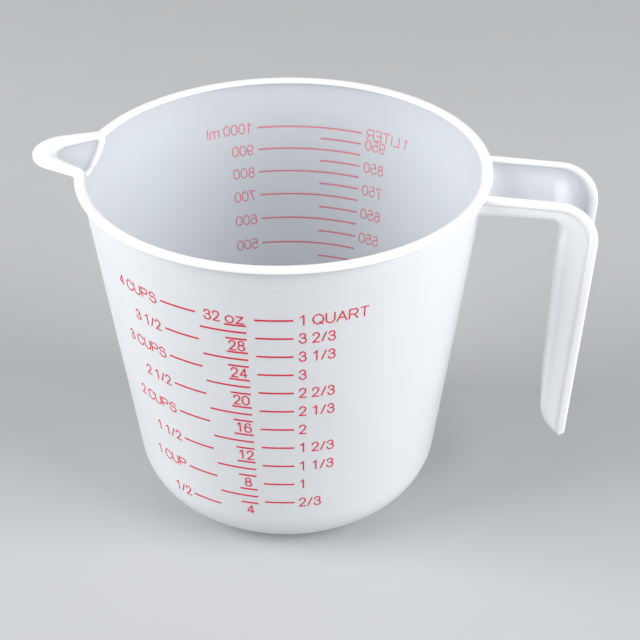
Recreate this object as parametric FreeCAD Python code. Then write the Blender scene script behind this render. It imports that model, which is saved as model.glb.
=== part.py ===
import FreeCAD, Part
import os
from math import acos, asin, atan2, cos, degrees, hypot, pi, radians, sin, sqrt, tan

# One-litre measuring jug of translucent polypropylene, moulded in one shot and printed on both sides.
# Frame: +Z up the jug's axis, origin on that axis at the underside of the base, +X towards the
# handle, -X towards the spout. The cup, ounce and quart scale faces -Y, the metric scale +Y.
# Millimetres. The moulding is divided where its job changes, and the divisions touch face to face.

V = FreeCAD.Vector

# Vessel
HEIGHT = 124.0            # base underside to rim
WALL = 1.5                # wall and floor thickness
DRAFT = 7.5               # degrees that the side leans out
SHOULDER_RADIUS = 66.0    # outside of the side wall just under the rim
BASE_CORNER = 21.5        # outside radius of the bend between side and base
RIM_RADIUS = 68.0
RIM_DEPTH = 1.8           # height of the rim's flange
RIM_ROUND = 1.2           # rounding of the mouth's inner edge
PANEL_RADIUS = 27.0       # raised panel in the middle of the base
PANEL_RISE = 0.8
GATE_RADIUS = 2.0         # sprue witness under the panel
GATE_DROP = 0.4

# Spout, on the -X side: an open trough with a flat lip. Each plan is a nose arc between two flanks
NOSE_CENTRE = 72.5        # lip: distance of the nose arc's centre from the axis
NOSE_RADIUS = 11.8
SPOUT_ROOT_HALF = 15.5    # lip: half width where it leaves the rim
POUR_TIP = 78.1           # trough: how far its mouth reaches from the axis at the rim
POUR_RADIUS = 6.8
POUR_ROOT_HALF = 13.2     # trough: half width where it opens into the vessel, at the rim ...
POUR_ROOT = 62.5          # ... and how far out that is
TROUGH_DEPTH = 5.9        # below the rim, at the middle of the trough's inner end
TROUGH_FOOT = 64.0        # distance from the axis at which the trough's floor starts
TROUGH_WALL = 1.5
TROUGH_LEVELS = (0.98, 0.88, 0.72, 0.5, 0.25, 0.0)  # shares of the depth where its plan is set

# Handle: an open channel, bent down into a hook, in the XZ plane
HANDLE_WIDTH = 30.0       # over the beads
BEAD_DEPTH = 2.4          # bead along the channel's edge
BEAD_WIDTH = 2.2
FLANGE = 1.4              # side wall of the channel
WEB = 2.0                 # floor of the channel
ARM_SLOPE = 2.2           # degrees that the arm's top edge falls outwards
BEND_CENTRE = (89.0, 109.6)
BEND_RADIUS = 13.4
GRIP_LEAN = 3.8           # degrees that the grip's outer edge leans inwards
GRIP_LENGTH = 73.0
ARM_UNDERSIDE = 116.0
CORNER_START = 88.0       # chamfer in the hand corner, from the arm ...
CORNER_END = (90.6, 112.8)  # ... to the grip
GRIP_END = (88.8, 45.0)
TOE_RADIUS = 11.7         # curve that closes the channel's lower end
TOE_SWEEP = 64.0

# Printed scales
INK = 0.1                 # thickness of the print
LINE = 0.65               # width of a printed line
CAP = 3.7                 # height of a numeral
PEN = 0.12                # stroke width, as a share of the numeral's height
GLYPH_GAP = 0.22
SPACE = 0.34
LETTER_STRETCH = 1.24     # letters are set wider than numerals
BAND_MARGIN = 1.3         # height of the band that a character is cut from, in numeral heights
OUNCE_TITLE_INSET = 0.7   # the ounce scale's name ends this far inside its column
LABEL_GAP = 2.0           # between a line and its label
ML_PER_CUP = 236.588
ML_PER_OUNCE = ML_PER_CUP / 8
# The cup scale is printed on an even rule: each third of a cup is a step above the last, less an ease
CUP_SCALE_FOOT = 8.16
CUP_SCALE_STEP = 8.89
CUP_SCALE_EASE = 0.078
# Angles round the axis, from -Y towards +X, in degrees: where each column of lines starts and ends
CUP_LINES = (-27.6, -16.0)
OUNCE_LONG = (-15.1, -1.4)
OUNCE_SHORT = (-7.6, -1.4)
THIRD_LINES = (1.0, 11.6)
METRIC_LONG = (163.1, 198.0)
METRIC_SHORT = (163.1, 177.1)

SLOPE = tan(radians(DRAFT))
RIM_BOTTOM = HEIGHT - RIM_DEPTH
CONE_BASE = SHOULDER_RADIUS - RIM_BOTTOM * SLOPE
CORNER_CENTRE = CONE_BASE + BASE_CORNER * SLOPE - BASE_CORNER / cos(radians(DRAFT))
BEND_TOP = BASE_CORNER * (1 - sin(radians(DRAFT)))   # height where the bend meets the straight side
DEEP_INSIDE = 56.0        # a radius safely inside the wall, where trimmed features are started
SLICES = 400              # discs that the contents are summed from


def side_radius(z, inset=0.0):
    """Radius of the straight side at height z, inset square to the wall."""
    return CONE_BASE + z * SLOPE - inset / cos(radians(DRAFT))


def vessel_form(inset, top):
    """Solid form of the vessel, inset square to its surface, filled up to top."""
    bend = BASE_CORNER - inset
    low, middle, high = (radians(a) for a in (-90, -45 - DRAFT / 2, -DRAFT))
    arc = [V(CORNER_CENTRE + bend * cos(a), 0, BASE_CORNER + bend * sin(a)) for a in (low, middle, high)]
    outer = V(side_radius(top, inset), 0, top)
    foot, crown = V(0, 0, inset), V(0, 0, top)
    edges = [
        Part.LineSegment(foot, arc[0]).toShape(),
        Part.Arc(*arc).toShape(),
        Part.LineSegment(arc[2], outer).toShape(),
        Part.LineSegment(outer, crown).toShape(),
        Part.LineSegment(crown, foot).toShape(),
    ]
    return Part.Face(Part.Wire(edges)).revolve(V(), V(0, 0, 1), 360)


def extruded_plan(wire, low, high):
    """Upright prism over a flat wire that was drawn at height zero."""
    face = Part.Face(wire)
    face.translate(V(0, 0, low))
    return face.extrude(V(0, 0, high - low))


def polygon(points):
    """Closed wire through points."""
    return Part.makePolygon(list(points) + [points[0]])


# --- vessel -------------------------------------------------------------------------------------

def base_panel():
    """Raised middle of the base with its sprue witness underneath."""
    panel = Part.makeCylinder(PANEL_RADIUS, WALL, V(0, 0, PANEL_RISE))
    gate = Part.makeCylinder(GATE_RADIUS, GATE_DROP, V(0, 0, PANEL_RISE - GATE_DROP))
    return panel.fuse(gate).removeSplitter()


def base_bowl(shell):
    """Foot and bend of the vessel, up to where the straight side starts."""
    slab = Part.makeCylinder(RIM_RADIUS, BEND_TOP)
    middle = Part.makeCylinder(PANEL_RADIUS, PANEL_RISE + WALL)
    step = middle.cut(Part.makeCylinder(PANEL_RADIUS - WALL, PANEL_RISE + WALL))
    riser = step.cut(Part.makeCylinder(PANEL_RADIUS, WALL, V(0, 0, PANEL_RISE)))
    return shell.common(slab).cut(middle).fuse(riser).removeSplitter()


def side_wall(shell, trough_space):
    """Straight side with its rounded mouth, cut open for the spout."""
    side = shell.cut(Part.makeCylinder(RIM_RADIUS, BEND_TOP))
    mouth = [e for e in side.Edges if e.BoundBox.ZMin > HEIGHT - 0.01]
    inner = min(mouth, key=lambda e: e.BoundBox.XMax)
    return side.makeFillet(RIM_ROUND, [inner]).cut(trough_space)


def rim_flange(form, spout_plan):
    """Flange round the mouth, interrupted by the spout's lip."""
    ring = Part.makeCylinder(RIM_RADIUS, RIM_DEPTH, V(0, 0, RIM_BOTTOM))
    return ring.cut(form).cut(spout_plan)


# --- spout --------------------------------------------------------------------------------------

def spout_outline(centre, radius, root_half, root):
    """Closed wire of a nose arc on two flanks that spread to half a root's width, at height zero."""
    reach = hypot(root - centre, root_half)
    touch = atan2(root_half, root - centre) - acos(radius / reach)
    half = [(-DEEP_INSIDE, root_half), (-root, root_half),
            (-centre - radius * cos(touch), radius * sin(touch))]
    start, shoulder, side = (V(x, y, 0) for x, y in half)
    other_start, other_shoulder, other_side = (V(x, -y, 0) for x, y in half)
    edges = [
        Part.LineSegment(start, shoulder).toShape(),
        Part.LineSegment(shoulder, side).toShape(),
        Part.Arc(side, V(-centre - radius, 0, 0), other_side).toShape(),
        Part.LineSegment(other_side, other_shoulder).toShape(),
        Part.LineSegment(other_shoulder, other_start).toShape(),
        Part.LineSegment(other_start, start).toShape(),
    ]
    return Part.Wire(edges)


def trough_form(swell):
    """Form of the trough, half an ellipse across, its floor rising to the tip; swell is its wall."""
    wires = []
    for share in TROUGH_LEVELS:
        narrowing = sqrt(1 - share ** 2)
        radius = (POUR_RADIUS + swell) * narrowing
        tip = POUR_TIP + (TROUGH_FOOT - POUR_TIP) * share + swell
        wire = spout_outline(tip - radius, radius, (POUR_ROOT_HALF + swell) * narrowing, POUR_ROOT)
        wire.translate(V(0, 0, HEIGHT - (TROUGH_DEPTH + swell) * share))
        wires.append(wire)
    return Part.makeLoft(wires, True, True)


def spout_trough(form, trough_space):
    """Thin wall of the trough, from the vessel's outside to the tip."""
    return trough_form(TROUGH_WALL).cut(trough_space).cut(form)


def spout_lip(form, spout_plan):
    """Flat lip that carries the rim's flange round the trough."""
    return spout_plan.cut(trough_form(TROUGH_WALL)).cut(form)


# --- handle -------------------------------------------------------------------------------------

def xz(point, y=0.0):
    """Vector of a point in the handle's side view."""
    return V(point[0], y, point[1])


def outer_edge(inset):
    """Edges of the handle's outer edge line, from the vessel to the end of the grip."""
    radius = BEND_RADIUS - inset
    fall, lean = radians(ARM_SLOPE), radians(GRIP_LEAN)
    cx, cz = BEND_CENTRE
    top = (cx + radius * sin(fall), cz + radius * cos(fall))
    knee = (cx + radius * cos(pi / 4), cz + radius * sin(pi / 4))
    back = (cx + radius * cos(lean), cz - radius * sin(lean))
    end = (back[0] - GRIP_LENGTH * sin(lean), back[1] - GRIP_LENGTH * cos(lean))
    root = (DEEP_INSIDE, top[1] + (top[0] - DEEP_INSIDE) * tan(fall))
    edges = [
        Part.LineSegment(xz(root), xz(top)).toShape(),
        Part.Arc(xz(top), xz(knee), xz(back)).toShape(),
        Part.LineSegment(xz(back), xz(end)).toShape(),
    ]
    return edges, root, end


def hand_corners(inset):
    """Corners of the handle's hand side, moved into the channel by inset with mitred corners."""
    path = [(DEEP_INSIDE, ARM_UNDERSIDE), (CORNER_START, ARM_UNDERSIDE), CORNER_END, GRIP_END]
    sides = []
    for (ax, az), (bx, bz) in zip(path, path[1:]):
        length = hypot(bx - ax, bz - az)
        sides.append(((bx - ax) / length, (bz - az) / length))
    moved = []
    for i, (x, z) in enumerate(path):
        before, after = sides[max(i - 1, 0)], sides[min(i, len(sides) - 1)]
        nx, nz = -before[1] - after[1], before[0] + after[0]
        size = hypot(nx, nz)
        mitre = inset / ((-before[1] * nx + before[0] * nz) / size)
        moved.append((x + nx / size * mitre, z + nz / size * mitre))
    return moved


def toe_point(radius, angle):
    """Point of the closing curve at the lower end of the grip, angle in degrees from its start."""
    turn = radians(180 + angle)
    return (GRIP_END[0] + TOE_RADIUS + radius * cos(turn), GRIP_END[1] + radius * sin(turn))


def toe_arc(radius):
    """Three points of the closing curve."""
    return [xz(toe_point(radius, share * TOE_SWEEP)) for share in (0, 0.5, 1)]


def tip_edges():
    """Edges round the rounded end of the bead, from its outer edge to its inner edge."""
    end, inner = outer_edge(0)[2], outer_edge(BEAD_DEPTH)[2]
    toe = toe_point(TOE_RADIUS, TOE_SWEEP)
    belly = ((end[0] + toe[0]) / 2, toe[1] - BEAD_DEPTH / 2)
    return [
        Part.Arc(xz(end), xz(belly), xz(toe)).toShape(),
        Part.LineSegment(xz(toe), xz(inner)).toShape(),
    ]


def bead_face():
    """Side view of the bead that edges the channel."""
    outer, root, _ = outer_edge(0)
    inner, inner_root, _ = outer_edge(BEAD_DEPTH)
    start = Part.LineSegment(xz(inner_root), xz(root)).toShape()
    return Part.Face(Part.Wire(outer + tip_edges() + inner[::-1] + [start]))


def flange_face():
    """Side view of the channel's side, between the hand side and the bead."""
    inner, inner_root, inner_end = outer_edge(BEAD_DEPTH)
    hand = hand_corners(0)
    edges = [Part.LineSegment(xz(a), xz(b)).toShape() for a, b in zip(hand, hand[1:])]
    edges.append(Part.Arc(*toe_arc(TOE_RADIUS)).toShape())
    edges.append(Part.LineSegment(xz(toe_point(TOE_RADIUS, TOE_SWEEP)), xz(inner_end)).toShape())
    edges += inner[::-1]
    edges.append(Part.LineSegment(xz(inner_root), xz(hand[0])).toShape())
    return Part.Face(Part.Wire(edges))


def across(face, low, high):
    """Solid of a side view face between two distances across the handle."""
    face.translate(V(0, low, 0))
    return face.extrude(V(0, high - low, 0))


def handle_webs():
    """Floor of the channel: arm, hand corner, grip and the toe that closes it."""
    half = HANDLE_WIDTH / 2 - BEAD_WIDTH
    hand, floor = hand_corners(0), hand_corners(WEB)
    webs = {}
    for i, name in enumerate(("handle_arm_web", "handle_corner_web", "handle_grip_web")):
        strip = [xz(hand[i]), xz(hand[i + 1]), xz(floor[i + 1]), xz(floor[i])]
        webs[name] = across(Part.Face(polygon(strip)), -half, half)
    hand_side, channel_side = toe_arc(TOE_RADIUS), toe_arc(TOE_RADIUS - WEB)
    edges = [
        Part.Arc(*hand_side).toShape(),
        Part.LineSegment(hand_side[2], channel_side[2]).toShape(),
        Part.Arc(*channel_side).toShape(),
        Part.LineSegment(channel_side[0], hand_side[0]).toShape(),
    ]
    webs["handle_toe_web"] = across(Part.Face(Part.Wire(Part.__sortEdges__(edges))), -half, half)
    return webs


def handle(envelope):
    """Every division of the handle, trimmed to the outside of the vessel and rim."""
    half = HANDLE_WIDTH / 2
    inner = half - BEAD_WIDTH
    pieces = handle_webs()
    for name, sign in (("front", -1), ("back", 1)):
        flange = sorted((sign * inner, sign * (inner + FLANGE)))
        bead = sorted((sign * inner, sign * half))
        pieces["handle_flange_" + name] = across(flange_face(), *flange)
        pieces["handle_bead_" + name] = across(bead_face(), *bead)
    end, inner_end = outer_edge(0)[2], outer_edge(BEAD_DEPTH)[2]
    close = [Part.LineSegment(xz(inner_end), xz(end)).toShape()]
    toe_bead = across(Part.Face(Part.Wire(close + tip_edges())), -inner, inner)
    pieces["handle_bead_toe"] = toe_bead.cut(pieces["handle_toe_web"])
    return {name: shape.cut(envelope) for name, shape in pieces.items()}


# --- printed scales -----------------------------------------------------------------------------

def contents(level):
    """Millilitres held below a level."""
    bend = BASE_CORNER - WALL
    total, step = 0.0, (level - WALL) / SLICES
    for i in range(SLICES):
        z = WALL + (i + 0.5) * step
        if z < BASE_CORNER - bend * sin(radians(DRAFT)):
            radius = CORNER_CENTRE + sqrt(bend ** 2 - (BASE_CORNER - z) ** 2)
        else:
            radius = side_radius(z, WALL)
        total += pi * radius ** 2 * step
    return (total - pi * PANEL_RADIUS ** 2 * PANEL_RISE) / 1000


def level_for(millilitres):
    """Height of the surface of a measured volume."""
    low, high = WALL + PANEL_RISE, HEIGHT
    while high - low > 0.01:
        middle = (low + high) / 2
        if contents(middle) < millilitres:
            low = middle
        else:
            high = middle
    return low


def cup_level(millilitres):
    """Height of a line of the cup, ounce and quart scale."""
    thirds = millilitres * 3 / ML_PER_CUP
    return CUP_SCALE_FOOT + CUP_SCALE_STEP * thirds - CUP_SCALE_EASE * thirds ** 2


def outside_point(z, lift):
    """Point of the vessel's outside at height z, lifted square off it."""
    turn = -radians(DRAFT)
    if z < BEND_TOP:
        turn = asin(z / BASE_CORNER - 1)
        return V(CORNER_CENTRE + (BASE_CORNER + lift) * cos(turn), 0, BASE_CORNER + (BASE_CORNER + lift) * sin(turn))
    return V(side_radius(z) + lift * cos(turn), 0, z + lift * sin(turn))


def outside_edges(low, high, lift):
    """Edges up the vessel's outside between two heights, round the bend and up the straight side."""
    edges = []
    if low < BEND_TOP:
        top = min(high, BEND_TOP)
        edges.append(Part.Arc(*(outside_point(z, lift) for z in (low, (low + top) / 2, top))).toShape())
    if high > BEND_TOP:
        ends = (outside_point(z, lift) for z in (max(low, BEND_TOP), high))
        edges.append(Part.LineSegment(*ends).toShape())
    return edges


def print_band(level, height, start, sweep):
    """Thin solid on the outside of the vessel: height up the wall, sweep in degrees from start."""
    rise = height / 2 * cos(radians(DRAFT))
    low, high = level - rise, level + rise
    edges = outside_edges(low, high, 0) + outside_edges(low, high, INK)
    edges += [Part.LineSegment(outside_point(z, 0), outside_point(z, INK)).toShape() for z in (low, high)]
    face = Part.Face(Part.Wire(Part.__sortEdges__(edges)))
    face.rotate(V(), V(0, 0, 1), start - 90)
    return face.revolve(V(), V(0, 0, 1), sweep)


def printed_lines(volumes, column, ruler):
    """One line for each volume in a column of the scale; ruler gives its height."""
    start, end = column
    return [print_band(ruler(v), LINE, start, end - start) for v in volumes]


# Strokes of each character on a height of one: two points are a line, three an arc.
# The first number is the character's width.
LEFT_OVAL = [((0.27, 1), (0.07, 0.87), (0, 0.5)), ((0, 0.5), (0.07, 0.13), (0.27, 0))]
RIGHT_OVAL = [((0.27, 1), (0.47, 0.87), (0.54, 0.5)), ((0.54, 0.5), (0.47, 0.13), (0.27, 0))]
STEM = [((0, 0), (0, 1))]
BOWL = [((0, 1), (0.32, 1)), ((0.32, 1), (0.58, 0.74), (0.32, 0.48)), ((0.32, 0.48), (0, 0.48))]
GLYPHS = {
    "0": (0.54, [LEFT_OVAL, RIGHT_OVAL]),
    "1": (0.54, [[((0.1, 0.78), (0.34, 1)), ((0.34, 1), (0.34, 0))]]),
    "2": (0.54, [[((0.02, 0.72), (0.27, 1), (0.52, 0.72)), ((0.52, 0.72), (0.44, 0.5)),
                  ((0.44, 0.5), (0, 0)), ((0, 0), (0.54, 0))]]),
    "3": (0.54, [[((0.03, 0.76), (0.26, 1), (0.49, 0.76)), ((0.49, 0.76), (0.42, 0.6), (0.2, 0.54))],
                 [((0.2, 0.54), (0.54, 0.28), (0.27, 0)), ((0.27, 0), (0.08, 0.07), (0, 0.27))]]),
    "4": (0.56, [[((0.42, 0), (0.42, 1))], [((0.42, 1), (0, 0.28)), ((0, 0.28), (0.56, 0.28))]]),
    "5": (0.54, [[((0.5, 1), (0.1, 1)), ((0.1, 1), (0.05, 0.5))],
                 [((0.05, 0.5), (0.28, 0.63), (0.54, 0.32)), ((0.54, 0.32), (0.28, 0), (0, 0.22))]]),
    "6": (0.54, [[((0.5, 0.82), (0.28, 1), (0.05, 0.7)), ((0.05, 0.7), (0, 0.5), (0, 0.32))],
                 [((0, 0.32), (0.27, 0.61), (0.54, 0.32))], [((0.54, 0.32), (0.27, 0), (0, 0.32))]]),
    "7": (0.54, [[((0, 1), (0.54, 1)), ((0.54, 1), (0.3, 0.56), (0.18, 0))]]),
    "8": (0.54, [[((0.27, 1), (0.05, 0.77), (0.27, 0.54)), ((0.27, 0.54), (0, 0.27), (0.27, 0))],
                 [((0.27, 1), (0.49, 0.77), (0.27, 0.54)), ((0.27, 0.54), (0.54, 0.27), (0.27, 0))]]),
    "9": (0.54, [[((0.04, 0.18), (0.26, 0), (0.49, 0.3)), ((0.49, 0.3), (0.54, 0.5), (0.54, 0.68))],
                 [((0.54, 0.68), (0.27, 0.39), (0, 0.68))], [((0, 0.68), (0.27, 1), (0.54, 0.68))]]),
    "/": (0.36, [[((0, 0), (0.36, 1))]]),
    "A": (0.66, [[((0, 0), (0.33, 1)), ((0.33, 1), (0.66, 0))], [((0.12, 0.36), (0.54, 0.36))]]),
    "C": (0.62, [[((0.62, 0.7), (0.34, 1), (0, 0.5)), ((0, 0.5), (0.34, 0), (0.62, 0.3))]]),
    "E": (0.5, [[((0.5, 1), (0, 1)), ((0, 1), (0, 0)), ((0, 0), (0.5, 0))], [((0, 0.52), (0.46, 0.52))]]),
    "I": (0.06, [[((0.03, 0), (0.03, 1))]]),
    "L": (0.48, [[((0, 1), (0, 0)), ((0, 0), (0.48, 0))]]),
    "P": (0.58, [STEM, BOWL]),
    "Q": (0.7, [[((0.35, 1), (0, 0.5), (0.35, 0))], [((0.35, 1), (0.7, 0.5), (0.35, 0))],
                [((0.42, 0.24), (0.68, -0.04))]]),
    "R": (0.6, [STEM, BOWL, [((0.34, 0.48), (0.6, 0))]]),
    "S": (0.56, [[((0.52, 0.76), (0.28, 1), (0.04, 0.76)), ((0.04, 0.76), (0.09, 0.61), (0.28, 0.54))],
                 [((0.28, 0.54), (0.56, 0.26), (0.28, 0)), ((0.28, 0), (0.07, 0.07), (0, 0.26))]]),
    "T": (0.6, [[((0, 1), (0.6, 1))], [((0.3, 1), (0.3, 0))]]),
    "U": (0.58, [[((0, 1), (0, 0.29)), ((0, 0.29), (0.29, 0), (0.58, 0.29)), ((0.58, 0.29), (0.58, 1))]]),
    "l": (0.06, [[((0.03, 0), (0.03, 1))]]),
    "m": (0.74, [[((0, 0), (0, 0.7))], [((0, 0.5), (0.18, 0.7), (0.37, 0.5)), ((0.37, 0.5), (0.37, 0))],
                 [((0.37, 0.5), (0.56, 0.7), (0.74, 0.5)), ((0.74, 0.5), (0.74, 0))]]),
    "o": (0.54, [[((0.27, 0.72), (0, 0.36), (0.27, 0))], [((0.27, 0.72), (0.54, 0.36), (0.27, 0))]]),
    "z": (0.5, [[((0.02, 0.7), (0.48, 0.7)), ((0.48, 0.7), (0, 0)), ((0, 0), (0.5, 0))]]),
}


def stretch(character):
    """How much wider than drawn a character is set."""
    return LETTER_STRETCH if character.isalpha() else 1


def glyph_width(character):
    """Width of a character, on a height of one."""
    return GLYPHS[character][0] * stretch(character)


def stroke_outline(stroke, widen):
    """Outline that a pen leaves along one stroke, on a height of one."""
    runs = [[V(x * widen, 0, y) for x, y in points] for points in stroke]
    if len(runs) == 1 and len(runs[0]) == 2:
        start, end = runs[0]
        side = V(start.z - end.z, 0, end.x - start.x) * (PEN / 2 / (end - start).Length)
        return polygon([start + side, end + side, end - side, start - side])
    edges = [(Part.Arc(*ends) if len(ends) == 3 else Part.LineSegment(*ends)).toShape() for ends in runs]
    return Part.Wire(edges).makeOffset2D(PEN / 2, 0, False, False)


def glyph(character, level, angle):
    """One printed character, its left edge at an angle round the jug and centred on a level."""
    width = glyph_width(character)
    turn = degrees(width * CAP / 2 / side_radius(level))
    half_gap = degrees(CAP * PEN / side_radius(level))
    band = print_band(level, CAP * BAND_MARGIN, angle - half_gap, 2 * (turn + half_gap))
    solids = []
    for stroke in GLYPHS[character][1]:
        face = Part.Face(stroke_outline(stroke, stretch(character)))
        face.translate(V(-width / 2, 0, -0.5))
        face.scale(CAP)
        solids.append(face.extrude(V(0, -2 * CAP, 0)))
    pen = solids[0].multiFuse(solids[1:]) if len(solids) > 1 else solids[0]
    pen.translate(V(0, CAP - side_radius(level), level))
    pen.rotate(V(), V(0, 0, 1), angle + turn)
    return band.common(pen)


def label_width(text):
    """Length of a label in millimetres."""
    widths = [SPACE if c == " " else glyph_width(c) + GLYPH_GAP for c in text]
    return (sum(widths) - GLYPH_GAP) * CAP


def label(text, level, angle, align):
    """Characters of a label: align 0 starts it at the angle, 0.5 centres it and 1 ends it there."""
    radius = side_radius(level)
    at = angle - degrees(label_width(text) * align / radius)
    printed = []
    for character in text:
        if character == " ":
            at += degrees(SPACE * CAP / radius)
        else:
            printed.append(glyph(character, level, at))
            at += degrees((glyph_width(character) + GLYPH_GAP) * CAP / radius)
    return printed


def fraction_text(count, parts):
    """Words such as 2 1/3 for a count of parts of a cup."""
    whole, rest = divmod(count, parts)
    if rest == 0:
        return str(whole)
    return f"{whole} {rest}/{parts}" if whole else f"{rest}/{parts}"


def cup_scale():
    """Left column: half cups, with the whole cups named."""
    gap = degrees(LABEL_GAP / SHOULDER_RADIUS)
    labels = []
    for halves in range(1, 9):
        text = fraction_text(halves, 2)
        if halves % 2 == 0:
            text += " CUP" if halves == 2 else " CUPS"
        labels += label(text, cup_level(halves * ML_PER_CUP / 2), CUP_LINES[0] - gap, 1)
    lines = printed_lines([n * ML_PER_CUP / 2 for n in range(1, 9)], CUP_LINES, cup_level)
    return {"cup_lines": lines, "cup_labels": labels}


def ounce_scale():
    """Middle column: odd ounces short, every fourth from six long, every fourth from four numbered."""
    middle = sum(OUNCE_SHORT) / 2
    title_end = OUNCE_SHORT[1] - degrees(OUNCE_TITLE_INSET / SHOULDER_RADIUS)
    numerals = label("32 oz", cup_level(32 * ML_PER_OUNCE), title_end, 1)
    for ounces in range(4, 32, 4):
        numerals += label(str(ounces), cup_level(ounces * ML_PER_OUNCE), middle, 0.5)
    long_lines = printed_lines([n * ML_PER_OUNCE for n in range(6, 32, 4)], OUNCE_LONG, cup_level)
    short_lines = printed_lines([n * ML_PER_OUNCE for n in range(5, 32, 2)], OUNCE_SHORT, cup_level)
    return {"ounce_long_lines": long_lines, "ounce_short_lines": short_lines, "ounce_numerals": numerals}


def third_scale():
    """Right column: thirds of a cup, with the top one named as a quart."""
    gap = degrees(LABEL_GAP / SHOULDER_RADIUS)
    labels = label("1 QUART", cup_level(12 * ML_PER_CUP / 3), THIRD_LINES[1] + gap, 0)
    for thirds in range(2, 12):
        text = fraction_text(thirds, 3)
        labels += label(text, cup_level(thirds * ML_PER_CUP / 3), THIRD_LINES[1] + gap, 0)
    lines = printed_lines([n * ML_PER_CUP / 3 for n in range(2, 13)], THIRD_LINES, cup_level)
    return {"third_lines": lines, "third_labels": labels}


def metric_scale():
    """Back of the jug: hundreds of millilitres on long lines, fifties on short ones."""
    gap = degrees(LABEL_GAP / SHOULDER_RADIUS)
    hundreds, fifties = [], []
    for volume in range(100, 1001, 100):
        text = str(volume) if volume < 1000 else "1000 ml"
        hundreds += label(text, level_for(volume), METRIC_LONG[1] + gap, 0)
    for volume in range(150, 1000, 100):
        fifties += label(str(volume), level_for(volume), METRIC_SHORT[0] - gap, 1)
    return {
        "metric_long_lines": printed_lines(range(100, 1001, 100), METRIC_LONG, level_for),
        "metric_short_lines": printed_lines(range(150, 1000, 100), METRIC_SHORT, level_for),
        "metric_hundreds": hundreds,
        "metric_fifties": fifties,
        "metric_litre": label("1 LITER", level_for(1000), METRIC_SHORT[0] - gap, 1),
    }


# --- whole jug ----------------------------------------------------------------------------------

def moulding():
    """Every division of the moulded jug."""
    form = vessel_form(0, HEIGHT)
    shell = form.cut(vessel_form(WALL, HEIGHT + WALL))
    trough_space = trough_form(0)
    lip_root = sqrt(RIM_RADIUS ** 2 - SPOUT_ROOT_HALF ** 2)
    outline = spout_outline(NOSE_CENTRE, NOSE_RADIUS, SPOUT_ROOT_HALF, lip_root)
    spout_plan = extruded_plan(outline, RIM_BOTTOM, HEIGHT)
    above_rim = HEIGHT        # any height that clears the handle
    envelope = form.fuse(Part.makeCylinder(RIM_RADIUS, above_rim, V(0, 0, RIM_BOTTOM)))
    pieces = {
        "base_panel": base_panel(),
        "base_bowl": base_bowl(shell),
        "side_wall": side_wall(shell, trough_space),
        "rim_flange": rim_flange(form, spout_plan),
        "spout_trough": spout_trough(form, trough_space),
        "spout_lip": spout_lip(form, spout_plan),
    }
    pieces.update(handle(envelope))
    return pieces


def main():
    """Write one STEP file for each division and each print."""
    os.makedirs("parts", exist_ok=True)
    pieces = moulding()
    for scale in (cup_scale(), ounce_scale(), third_scale(), metric_scale()):
        for name, prints in scale.items():
            pieces[name] = Part.makeCompound([s for p in prints for s in p.Solids])
    for name, shape in pieces.items():
        shape.exportStep(f"parts/{name}.step")
        print(f"{name:22} solids {len(shape.Solids):3}  volume {shape.Volume:10.1f} mm3  valid {shape.isValid()}")
    print(f"holds {contents(HEIGHT):.0f} ml to the brim; 1000 ml stands {level_for(1000):.1f} mm high")


main()
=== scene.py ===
"""A one-litre measuring jug of natural polypropylene: its finished meshes, materials and studio.

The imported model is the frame. The real jug is one shot of plastic, so the moulding is remade here as one
smooth closed skin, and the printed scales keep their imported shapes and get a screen-print ink. Lengths are
in metres, +Z up the jug's axis, +X towards the handle and -X towards the spout. The outside of the skin
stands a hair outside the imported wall, so that the prints are keyed into it instead of lying on it.
"""

import logging
from dataclasses import dataclass, field
from enum import Enum
from math import acos, atan2, cos, hypot, radians, sin, sqrt, tan

import bmesh
import bpy
from mathutils import Matrix, Vector
from mathutils.kdtree import KDTree


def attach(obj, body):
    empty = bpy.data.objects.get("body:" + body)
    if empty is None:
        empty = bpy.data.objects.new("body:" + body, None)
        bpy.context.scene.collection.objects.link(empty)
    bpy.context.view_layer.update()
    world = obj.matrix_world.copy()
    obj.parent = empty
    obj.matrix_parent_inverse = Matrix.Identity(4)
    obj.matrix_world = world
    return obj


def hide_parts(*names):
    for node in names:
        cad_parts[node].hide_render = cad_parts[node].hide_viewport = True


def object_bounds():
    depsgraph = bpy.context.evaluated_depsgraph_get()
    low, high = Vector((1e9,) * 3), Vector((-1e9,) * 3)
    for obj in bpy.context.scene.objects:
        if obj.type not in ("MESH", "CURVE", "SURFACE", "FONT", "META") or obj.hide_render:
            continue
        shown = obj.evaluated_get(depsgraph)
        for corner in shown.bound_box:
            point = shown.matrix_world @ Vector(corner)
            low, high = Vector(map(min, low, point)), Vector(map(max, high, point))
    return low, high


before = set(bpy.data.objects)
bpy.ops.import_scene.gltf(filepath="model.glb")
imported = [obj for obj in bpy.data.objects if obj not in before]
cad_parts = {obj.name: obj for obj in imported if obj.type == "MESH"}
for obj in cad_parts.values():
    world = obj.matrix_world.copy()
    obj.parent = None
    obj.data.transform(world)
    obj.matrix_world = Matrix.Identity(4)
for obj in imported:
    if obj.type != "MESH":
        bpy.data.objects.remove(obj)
CAD_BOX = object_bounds()

log = logging.getLogger("jug")
MERGE = 1e-6
# Vertex mark for the milkier, more opaque thicker parts; the whiter colour it gives the rim, lip, handle
# beads and the trough's crease is partly a painted highlight.
MILK_AND_HIGHLIGHT = "milkiness"
# Vertex mark for the inside surfaces: they are glossier, and their darker grey-blue tone is painted shade.
GLOSS_AND_INNER_SHADE = "polish"
PLASTIC_SLOT = "natural_polypropylene"
INK_SLOT = "red_ink"


class Skin(Enum):
    """Which surface of the vessel a point of its section lies on."""

    INSIDE = 0
    OUTSIDE = 1
    RIM = 2


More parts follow.
